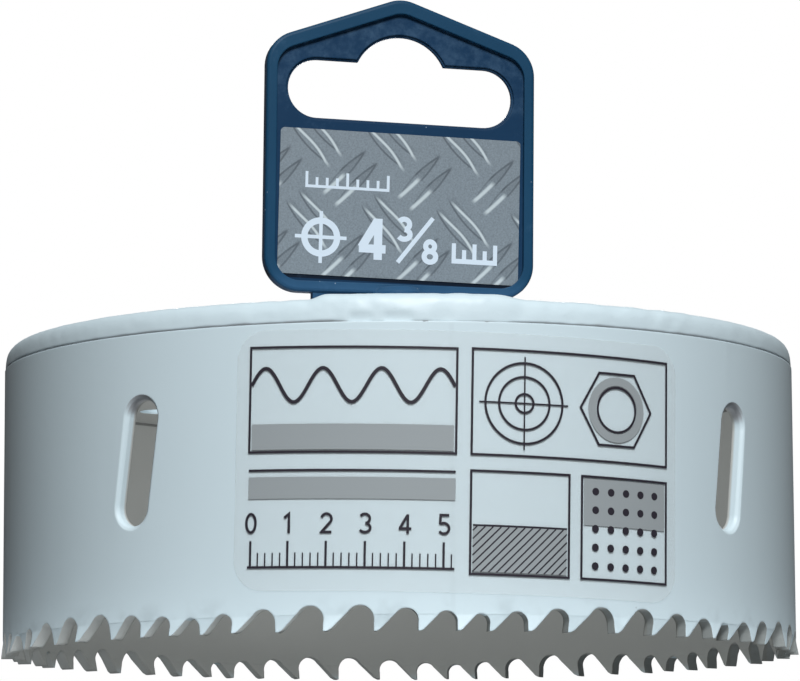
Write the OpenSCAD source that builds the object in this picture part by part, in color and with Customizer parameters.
// Hole saw on its hang tag.
// It stands on its teeth: +Z runs up the axis to the back plate, z = 0 is the plane of the tooth tips,
// and the four ejection slots lie near the X and Y axes, with the band's butt seam midway between +X and -Y.
// Turns about the axis are in degrees from -Y towards +X.

/* [Shell] */
// Diameter over the outward-set teeth, the size of hole that it cuts
cut_d = 111; // [100:1:130]
// Thickness of the rolled band
wall = 1.8; // [1.5:0.1:2.2]
// Height of the band, from the tooth tips to its upper edge
shell_h = 39.6; // [34:0.2:50]

/* [Teeth] */
// Times that the pattern of seven pitches goes round the rim
tooth_groups = 9; // [8:1:10]
// Depth of a gullet, as a share of its own pitch
gullet_share = 0.51; // [0.44:0.01:0.56]
// Radius of a gullet's round end, as a share of its own pitch
round_share = 0.28; // [0.22:0.01:0.3]
// Rake of the cutting faces
rake = 2; // [0:1:6]
// Slope of a tooth's back
back_slope = 45; // [40:1:50]
// Slope of the relief behind a tip
relief_slope = 27; // [15:1:30]
// Flat on a tooth's tip
tip_land = 0.15; // [0.1:0.05:0.3]
// Sideways bend of a set tooth at its tip
tooth_set = 0.4; // [0.2:0.05:0.5]
// Turn of the first tooth's tip
first_tip_turn = 0.16; // [0:0.02:5]

/* [Ejection slots] */
// Number of slots
slot_count = 4; // [2:1:6]
// Turn between the two slots beside the band's butt seam. The others share the rest evenly
seam_gap_turn = 91.4; // [88:0.1:94]
// Length of a slot over its round ends
slot_l = 16.6; // [12:0.2:20]
// Width of a slot
slot_w = 5; // [4.6:0.1:7]
// Width of the edge that the punch rolled in round a slot's mouth
slot_roll = 0.6; // [0.3:0.05:0.8]
// Lean of a slot from upright
slot_lean = 8.5; // [0:0.5:12]
// Drop from the band's upper edge to the middle of a slot
slot_drop = 16.8; // [14:0.2:20]

/* [Back plate] */
// Thickness of the plate
plate_t = 5; // [4:0.2:7]
// Height that the plate stands above the band's upper edge, inside the weld
plate_proud = 2.8; // [2:0.1:3.4]
// Slip clearance of the plate in the band, on the radius
plate_slip = 0.05; // [0:0.01:0.1]
// Minor diameter of the arbor hole's 5/8"-18 thread
arbor_d = 14.5; // [13:0.1:16]
// Chamfer at both mouths of the arbor hole
arbor_chamfer = 0.7; // [0.4:0.1:1]
// Diameter of the drive pin holes
pin_hole_d = 6.8; // [5:0.1:7.5]
// Pitch circle of the drive pin holes
pin_circle_d = 24; // [24:0.5:30]
// Diameter of the small outer holes
vent_d = 6; // [4:0.5:9]
// Radius of the circle of small outer holes
vent_circle_r = 41.8; // [30:0.2:44]
// Turn of the first small outer hole
vent_turn = 4; // [-20:1:20]

/* [Weld] */
// Rise of the weld's crown above the plate
bead_crown = 0.35; // [0.1:0.05:0.5]
// Step in from the band's face to the weld's toe
bead_toe = 0.12; // [0:0.02:0.3]
// Width of the weld on top of the plate
bead_lap = 1.2; // [0.6:0.1:2]
// Squareness of the weld's section
bead_power = 2.7; // [1.8:0.1:3]
// Turn at which the weld starts
weld_start = 27.5; // [0:0.5:90]
// Turn that the weld's end runs on over its start
weld_overlap = 28; // [10:1:40]
// Drop of the overlapping run down the band's face
overlap_drop = 0.6; // [0.3:0.1:1]
// Thickness of the overlapping run over the first
overlap_t = 0.15; // [0.1:0.05:0.3]
// Further rise of the overlapping run's crown
overlap_crown = 0.6; // [0.2:0.1:0.8]
// Thickness of the weld's inner edge on the plate
bead_edge = 0.03; // [0.02:0.01:0.1]

/* [Hang tag] */
// Width of the panel
tag_w = 38.8; // [36:0.2:44]
// Height of the panel's straight sides
tag_side_h = 35.75; // [34:0.25:44]
// Slope of the gable
gable_slope = 19.8; // [12:0.2:26]
// Radius of the panel's corners
tag_corner_r = 5; // [3:0.5:6]
// Thickness over the raised rim
tag_t = 2.6; // [2.2:0.1:3.4]
// Thickness of the recessed panel
panel_t = 1.2; // [0.8:0.1:1.8]
// Width of the rim at the sides and foot
rim_w = 1.5; // [1:0.1:2]
// Width of the rim along the gable
gable_rim_w = 2; // [1.2:0.1:2.6]
// Rounding of the rim's edges
rim_edge = 0.45; // [0.2:0.05:0.5]
// Height of the tag's foot above the plate
tag_foot_rise = 8.5; // [7:0.5:14]
// Turn of the tag's face
tag_turn = 49.7; // [0:0.1:90]
// Sideways lean of the panel, clockwise as seen from its face
tag_lean = 0.8; // [0:0.1:3]
// Width of the hanging slot
hang_slot_w = 32.4; // [28:0.2:33]
// Height of the hanging slot's straight part
hang_slot_h = 8.4; // [7:0.1:9]
// Radius of the hump above the hanging slot
hump_r = 6.85; // [5:0.05:7.2]
// Rise of the hump's centre above the slot's
hump_rise = 1.3; // [0.5:0.1:1.5]
// Height of the slot's middle above the panel's foot
hang_slot_rise = 29; // [27:0.2:30]
// Tilt of the hanging slot in the panel
hang_slot_tilt = 0.7; // [0:0.1:2]
// Softening of the slot's edges
slot_edge = 0.3; // [0.1:0.05:0.4]

/* [Tag plug] */
// Radial clearance of the plug in the arbor hole
plug_clear = 0.25; // [0.1:0.05:0.4]
// Reach of the plug's barb outside the arbor hole's edge
barb_reach = 0.6; // [0.3:0.1:1]
// Length of the barbed nose below the plate
nose_l = 5.5; // [4:0.5:8]
// Overhang of the flange round the arbor hole
flange_lap = 1.1; // [1:0.1:1.2]
// Thickness of the flange
flange_t = 1.5; // [1:0.1:2.5]
// Width of the split in the plug
plug_split = 2.4; // [1.5:0.1:3]
// Diameter of the stem
stem_d = 8; // [6:0.5:10]
// Width of the web under the panel
web_w = 24.8; // [18:0.2:28]
// Thickness of the web
web_t = 1.6; // [1.2:0.1:2.2]
// Height of the web's slanted shoulders above the flange's middle
web_shoulder_h = 4.5; // [3:0.5:6]

/* [Labels] */
// Margin round the tag's label, in from the rim
label_gap = 0.55; // [0.3:0.05:1]
// Further rise of the label above the foot's rim
label_rise = 0.25; // [0:0.05:0.5]
// Corner radius of the tag's label
label_corner_r = 0.6; // [0.3:0.1:1.5]
// Height of the tag's label
label_h = 20.8; // [18:0.2:22]
// Thickness of the tag's label
label_t = 0.12; // [0.08:0.02:0.2]
// Tilt of the tag's label on the panel
label_tilt = 0.8; // [0:0.1:2]
// Width of the clear film, along the band
film_w = 60.6; // [50:0.2:64]
// Thickness of the clear film
film_t = 0.1; // [0.06:0.02:0.16]
// Height of the film's lower edge above the tooth tips
film_low = 4.75; // [4.5:0.25:8]
// Gap from the film's upper edge to the band's upper edge
film_top = 1.3; // [1:0.1:4]
// Corner radius of the film
film_corner_r = 4; // [2:0.5:6]
// Turn of the film's middle
film_turn = 46.9; // [40:0.1:50]
// Tilt of the film
film_tilt = 1.2; // [0:0.1:2]

/* [Hidden] */
$fn = 96;
paint = [0.80, 0.85, 0.87];
blue = [0.10, 0.25, 0.38];
print_grey = [0.62, 0.66, 0.69];
clear = [0.85, 0.90, 0.92, 0.35];

// Length that a cut runs past the face that it leaves by
past = 1;

shell_r = cut_d / 2 - tooth_set;
bore_r = shell_r - wall;

// The seven pitches of a group, and the side that each tooth is set to: 1 outwards, -1 inwards
pitches = [5.15, 4.45, 5.1, 6, 6.7, 6.7, 5.9];
sides = [0, 1, -1, 1, -1, 1, -1];
teeth = len(pitches);
function sum_to(list, n) = n == 0 ? 0 : list[n - 1] + sum_to(list, n - 1);
pitch_turn = 360 / tooth_groups / sum_to(pitches, teeth);
function tip_turn(i) = first_tip_turn + sum_to(pitches, i) * pitch_turn;
function arc_length(turn) = turn * PI / 180 * shell_r;
function turn_of(length) = length / shell_r * 180 / PI;

// A gullet lies between tooth i and the next, drawn from the next tooth's cutting edge at [0, 0]
function pitch(i) = arc_length(pitches[(i + teeth) % teeth] * pitch_turn);
function gullet_h(i) = gullet_share * pitch(i);
function round_r(i) = round_share * pitch(i);
function round_z(i) = gullet_h(i) - round_r(i);
function face_run(i) = (round_z(i) - round_r(i) * sin(rake)) / cos(rake);
function round_x(i) = face_run(i) * sin(rake) - round_r(i) * cos(rake);
// The straight sides end just inside the round end, so that they cross it instead of touching it
inside = 0.985;

// Every tooth bends at the same height, a little below the shallowest gullet's end
bend_share = 0.94;
bend_z = bend_share * gullet_share * arc_length(min(pitches) * pitch_turn);
// Neighbouring teeth are parted by a thin gap, inside the gullet between them
parting = 0.3;
// Depth that the ground sides of the teeth lie below the band's faces
side_grind = 0.03;
// Radius of the innermost tooth tips, where the gullets come closest to each other
tip_low_r = bore_r - tooth_set;

slot_z = shell_h - slot_drop;
seam_turn = 180 / slot_count;
function slot_turn(k) = seam_turn + seam_gap_turn / 2 + k * (360 - seam_gap_turn) / (slot_count - 1);
// The rolled edge is drawn with two slopes: a shallow one down to the knee, and a steep one below
roll_knee = 0.35;
roll_depth = 0.45;
// The round ends of a mouth are this much wider than its straight part, so that their faces cross
mouth_cross = 0.02;
// The steep slope ends this far inside the slot, so that it crosses the slot's wall
mouth_inset = 0.1;

plate_r = bore_r - plate_slip;
plate_top_z = shell_h + plate_proud;
plate_low_z = plate_top_z - plate_t;
pin_holes = 4;
vents = 4;

foot_z = plate_top_z + tag_foot_rise;
apex_h = tag_side_h + tag_w / 2 * tan(gable_slope);
recess = (tag_t - panel_t) / 2;
plug_r = arbor_d / 2 - plug_clear;
flange_r = arbor_d / 2 + flange_lap;
label_w = tag_w - 2 * rim_w - 2 * label_gap;
label_low = rim_w + label_gap + label_rise;
film_mid_z = (film_low + shell_h - film_top) / 2;
film_h = shell_h - film_top - film_low;

// Turns a flat drawing upright at the front, with its face at the given radius, and cuts or adds inwards
module upright(radius, length) {
  translate([0, -radius + length, 0])
    rotate([90, 0, 0])
      linear_extrude(length)
        children();
}

// One gullet's outline
module gullet_outline(i) {
  centre = [round_x(i), round_z(i)];
  reach = round_r(i) * inside;
  face_end = centre + reach * [cos(rake), -sin(rake)];
  back_end = centre + reach * [-sin(back_slope), cos(back_slope)];
  heel = tip_land - tip_low_r * sin(pitches[(i + teeth) % teeth] * pitch_turn);
  knee_x = (back_end.y - back_end.x * tan(back_slope) + heel * tan(relief_slope))
         / (tan(relief_slope) - tan(back_slope));
  knee = [knee_x, (knee_x - heel) * tan(relief_slope)];
  translate(centre)
    circle(round_r(i));
  polygon([[0, -past], [0, 0], face_end, back_end, knee, [heel, 0], [heel, -past]]);
}

// All gullets of the rim
module gullets() {
  for (group = [0 : tooth_groups - 1], i = [0 : teeth - 1])
    rotate(tip_turn(i + 1) + group * 360 / tooth_groups)
      upright(shell_r + tooth_set + past, wall + 2 * tooth_set + 2 * past)
        gullet_outline(i);
}

// The band's section before the teeth are cut, as wide at its foot as both sets of teeth together
module band_section() {
  polygon([
    [bore_r, shell_h],
    [bore_r, bend_z],
    [bore_r - tooth_set, 0],
    [shell_r + tooth_set, 0],
    [shell_r, bend_z],
    [shell_r, shell_h]
  ]);
}

// What the grinding takes off one face of tooth i, from gullet to gullet: side 1 is outside, -1 inside
module tooth_side_cut(i, side) {
  low = tip_turn(i) + turn_of(round_x(i - 1) + parting / 2);
  high = tip_turn(i + 1) + turn_of(round_x(i) - parting / 2);
  face_r = side > 0 ? shell_r : bore_r;
  ground_r = face_r - side * side_grind;
  slope = sides[i] * tooth_set / bend_z;
  clearance = side_grind + tooth_set + past;
  rotate(low - 90)
    rotate_extrude(angle = high - low)
      polygon([
        [ground_r, bend_z],
        [ground_r + slope * (bend_z + past), -past],
        [ground_r + side * clearance, -past],
        [ground_r + side * clearance, bend_z + clearance]
      ]);
}

// All side faces of the teeth, which leave each tooth bent to its own side
module tooth_sides() {
  for (group = [0 : tooth_groups - 1], i = [0 : teeth - 1], side = [-1, 1])
    if (side * sides[i] <= 0)
      rotate(group * 360 / tooth_groups)
        tooth_side_cut(i, side);
}

// A leaning slot with round ends, cut through the band at the front
module ejection_slot() {
  straight = slot_l - slot_w;
  translate([0, 0, slot_z])
    upright(shell_r + past, wall + 2 * past)
      rotate(-slot_lean) {
        square([slot_w, straight], center = true);
        for (end = [-1, 1])
          translate([0, end * straight / 2])
            circle(d = slot_w);
      }
}

// Half of a mouth's section, from the middle of the slot to its edge, with depth counted as -y
module mouth_half(grow) {
  half = slot_w / 2 + grow;
  knee = roll_knee * slot_roll;
  knee_d = roll_depth * slot_roll;
  polygon([
    [0, slot_roll],
    [half + slot_roll + (slot_roll - knee) / knee_d * slot_roll, slot_roll],
    [half + knee, -knee_d],
    [half - mouth_inset, -3 * knee_d],
    [0, -3 * knee_d]
  ]);
}

// The rolled-in mouth round a slot's outer end
module slot_mouth() {
  straight = slot_l - slot_w;
  translate([0, -shell_r, slot_z])
    rotate([90, slot_lean, 0]) {
      for (end = [-1, 1])
        translate([0, end * straight / 2, 0])
          rotate_extrude()
            mouth_half(mouth_cross);
      for (side = [0, 180])
        rotate([0, 0, side])
          translate([0, straight / 2, 0])
            rotate([90, 0, 0])
              linear_extrude(straight)
                mouth_half(0);
    }
}

module toothed_shell() {
  color(paint)
    difference() {
      rotate_extrude()
        band_section();
      tooth_sides();
      gullets();
      for (k = [0 : slot_count - 1])
        rotate(slot_turn(k)) {
          ejection_slot();
          slot_mouth();
        }
    }
}

// A hole through the plate at the front, at a radius from the axis
module plate_hole(radius, diameter) {
  translate([0, -radius, plate_low_z - past])
    cylinder(d = diameter, h = plate_t + 2 * past);
}

module back_plate() {
  color(paint)
    difference() {
      translate([0, 0, plate_low_z])
        cylinder(r = plate_r, h = plate_t);
      plate_hole(0, arbor_d);
      translate([0, 0, plate_low_z])
        cylinder(r1 = arbor_d / 2 + arbor_chamfer, r2 = arbor_d / 2, h = arbor_chamfer);
      translate([0, 0, plate_top_z - arbor_chamfer])
        cylinder(r1 = arbor_d / 2, r2 = arbor_d / 2 + arbor_chamfer, h = arbor_chamfer);
      for (k = [0 : pin_holes - 1])
        rotate(k * 360 / pin_holes)
          plate_hole(pin_circle_d / 2, pin_hole_d);
      for (k = [0 : vents - 1])
        rotate(vent_turn + k * 360 / vents)
          plate_hole(vent_circle_r, vent_d);
    }
}

// Points of a weld's outer face, from its toe up to its crown, as a squared ellipse
function weld_face(toe_r, toe_z, crown_r, crown_z) = [
  for (a = [0 : 10 : 90])
    [
      crown_r + (toe_r - crown_r) * pow(cos(a), 2 / bead_power),
      toe_z + (crown_z - toe_z) * pow(sin(a), 2 / bead_power)
    ]
];

// The weld's section: on the band's upper edge, against the plate, and lapping onto the plate
module weld_section(grow, drop, rise) {
  crown_r = plate_r;
  crown_z = plate_top_z + bead_crown + grow + rise;
  toe_r = drop > 0 ? shell_r + grow : shell_r - bead_toe;
  polygon(concat(
    [[plate_r, shell_h]],
    drop > 0 ? [[shell_r, shell_h], [shell_r, shell_h - drop]] : [],
    weld_face(toe_r, shell_h - drop, crown_r, crown_z),
    [[plate_r - bead_lap, plate_top_z + grow], [plate_r - bead_lap, plate_top_z], [plate_r, plate_top_z]]
  ));
}

module weld_bead() {
  color(paint)
    union() {
      rotate_extrude()
        weld_section(bead_edge, 0, 0);
      rotate(weld_start - 90)
        rotate_extrude(angle = weld_overlap)
          weld_section(overlap_t, overlap_drop, overlap_crown);
    }
}

// The panel's outline, set in by the rim's widths, with its corners rounded
module panel_outline(side_in, gable_in) {
  half = tag_w / 2 - side_in;
  roof_drop = gable_in / cos(gable_slope);
  corner_r = tag_corner_r - side_in;
  offset(r = corner_r, $fn = 64)
    offset(delta = -corner_r)
      polygon([
        [-half, side_in],
        [half, side_in],
        [half, apex_h - roof_drop - half * tan(gable_slope)],
        [0, apex_h - roof_drop],
        [-half, apex_h - roof_drop - half * tan(gable_slope)]
      ]);
}

// A flat drawing as a plate of thickness t about z = 0
module slab(t) {
  translate([0, 0, -t / 2])
    linear_extrude(t)
      children();
}

// The hanging slot's outline, grown by an edge
module hang_slot_outline(grow) {
  straight = hang_slot_w - hang_slot_h;
  square([straight, hang_slot_h + 2 * grow], center = true);
  for (end = [-1, 1])
    translate([end * straight / 2, 0])
      circle(d = hang_slot_h + 2 * grow);
  translate([0, hump_rise])
    intersection() {
      circle(hump_r + grow);
      translate([-hump_r - grow, 0])
        square([2 * (hump_r + grow), hump_r + grow]);
    }
}

// The rim's rounded edge is drawn with two facets, which meet at this share of it
edge_knee = 0.3;

// The panel lying flat, with its foot at y = 0
module panel() {
  difference() {
    hull() {
      slab(tag_t - 2 * rim_edge)
        panel_outline(0, 0);
      slab(tag_t - 2 * edge_knee * rim_edge)
        panel_outline(edge_knee * rim_edge, edge_knee * rim_edge);
      slab(tag_t)
        panel_outline(rim_edge, rim_edge);
    }
    for (face = [-1, 1])
      translate([0, 0, face * (panel_t + recess + past) / 2])
        slab(recess + past)
          panel_outline(rim_w, gable_rim_w);
    translate([0, hang_slot_rise, 0])
      rotate(-hang_slot_tilt) {
        slab(tag_t)
          hang_slot_outline(0);
        for (face = [-1, 1])
          translate([0, 0, face * panel_t / 2])
            slab(2 * slot_edge)
              hang_slot_outline(slot_edge);
      }
  }
}

// Split plug with its barb, stem and flange, on the saw's axis
module plug() {
  nose_z = plate_low_z - nose_l;
  nose_inset = 1.5;
  barb_r = arbor_d / 2 + barb_reach;
  barb_gap = 0.3;
  barb_z = plate_low_z - barb_gap;
  barb_land = 1;
  barb_back = 0.2;
  stem_top_z = foot_z + 1;
  stem_edge = 0.8;
  difference() {
    rotate_extrude()
      polygon([
        [0, nose_z],
        [plug_r - nose_inset, nose_z],
        [barb_r, barb_z - barb_land],
        [barb_r, barb_z],
        [plug_r, barb_z + barb_back],
        [plug_r, plate_top_z],
        [flange_r, plate_top_z],
        [flange_r, plate_top_z + flange_t],
        [stem_d / 2, plate_top_z + flange_t],
        [stem_d / 2, stem_top_z - stem_edge],
        [stem_d / 2 - stem_edge, stem_top_z],
        [0, stem_top_z]
      ]);
    translate([-plug_split / 2, -barb_r - past, nose_z - past])
      cube([plug_split, 2 * (barb_r + past), plate_top_z - nose_z]);
  }
}

// The web between flange and panel, lying flat as the panel does
module web() {
  low = plate_top_z + flange_t / 2 - foot_z;
  shoulder = low + web_shoulder_h;
  low_half = flange_r - web_t / 2;
  slab(web_t)
    polygon([
      [-web_w / 2, rim_w / 2],
      [-web_w / 2, shoulder],
      [-low_half, low],
      [low_half, low],
      [web_w / 2, shoulder],
      [web_w / 2, rim_w / 2]
    ]);
}

// Stands what is drawn in the panel's own flat plane up on the plug, turned and leaning
module on_tag() {
  rotate(tag_turn)
    translate([0, 0, foot_z])
      rotate([90, tag_lean, 0])
        children();
}

module hang_tag() {
  color(blue)
    union() {
      on_tag()
        panel();
      rotate(tag_turn)
        translate([0, 0, foot_z])
          rotate([90, 0, 0])
            web();
      rotate(tag_turn)
        plug();
    }
}

// A rectangle about the origin with round corners
module round_rectangle(size, radius) {
  offset(r = radius, $fn = 48)
    square([size.x - 2 * radius, size.y - 2 * radius], center = true);
}

module tag_label() {
  color(print_grey)
    on_tag()
      translate([0, label_low + label_h / 2, panel_t / 2])
        rotate(-label_tilt)
          linear_extrude(label_t)
            round_rectangle([label_w, label_h], label_corner_r);
}

module shell_label() {
  half_turn = turn_of(film_w / 2);
  flat_w = 2 * (shell_r + film_t) * sin(half_turn);
  color(clear)
    rotate(film_turn)
      intersection() {
        rotate_extrude()
          translate([shell_r, 0])
            square([film_t, shell_h]);
        translate([0, 0, film_mid_z])
          upright(shell_r + 2 * past, shell_r)
            rotate(-film_tilt)
              round_rectangle([flat_w, film_h], film_corner_r);
      }
}

toothed_shell();
back_plate();
weld_bead();
hang_tag();
tag_label();
shell_label();
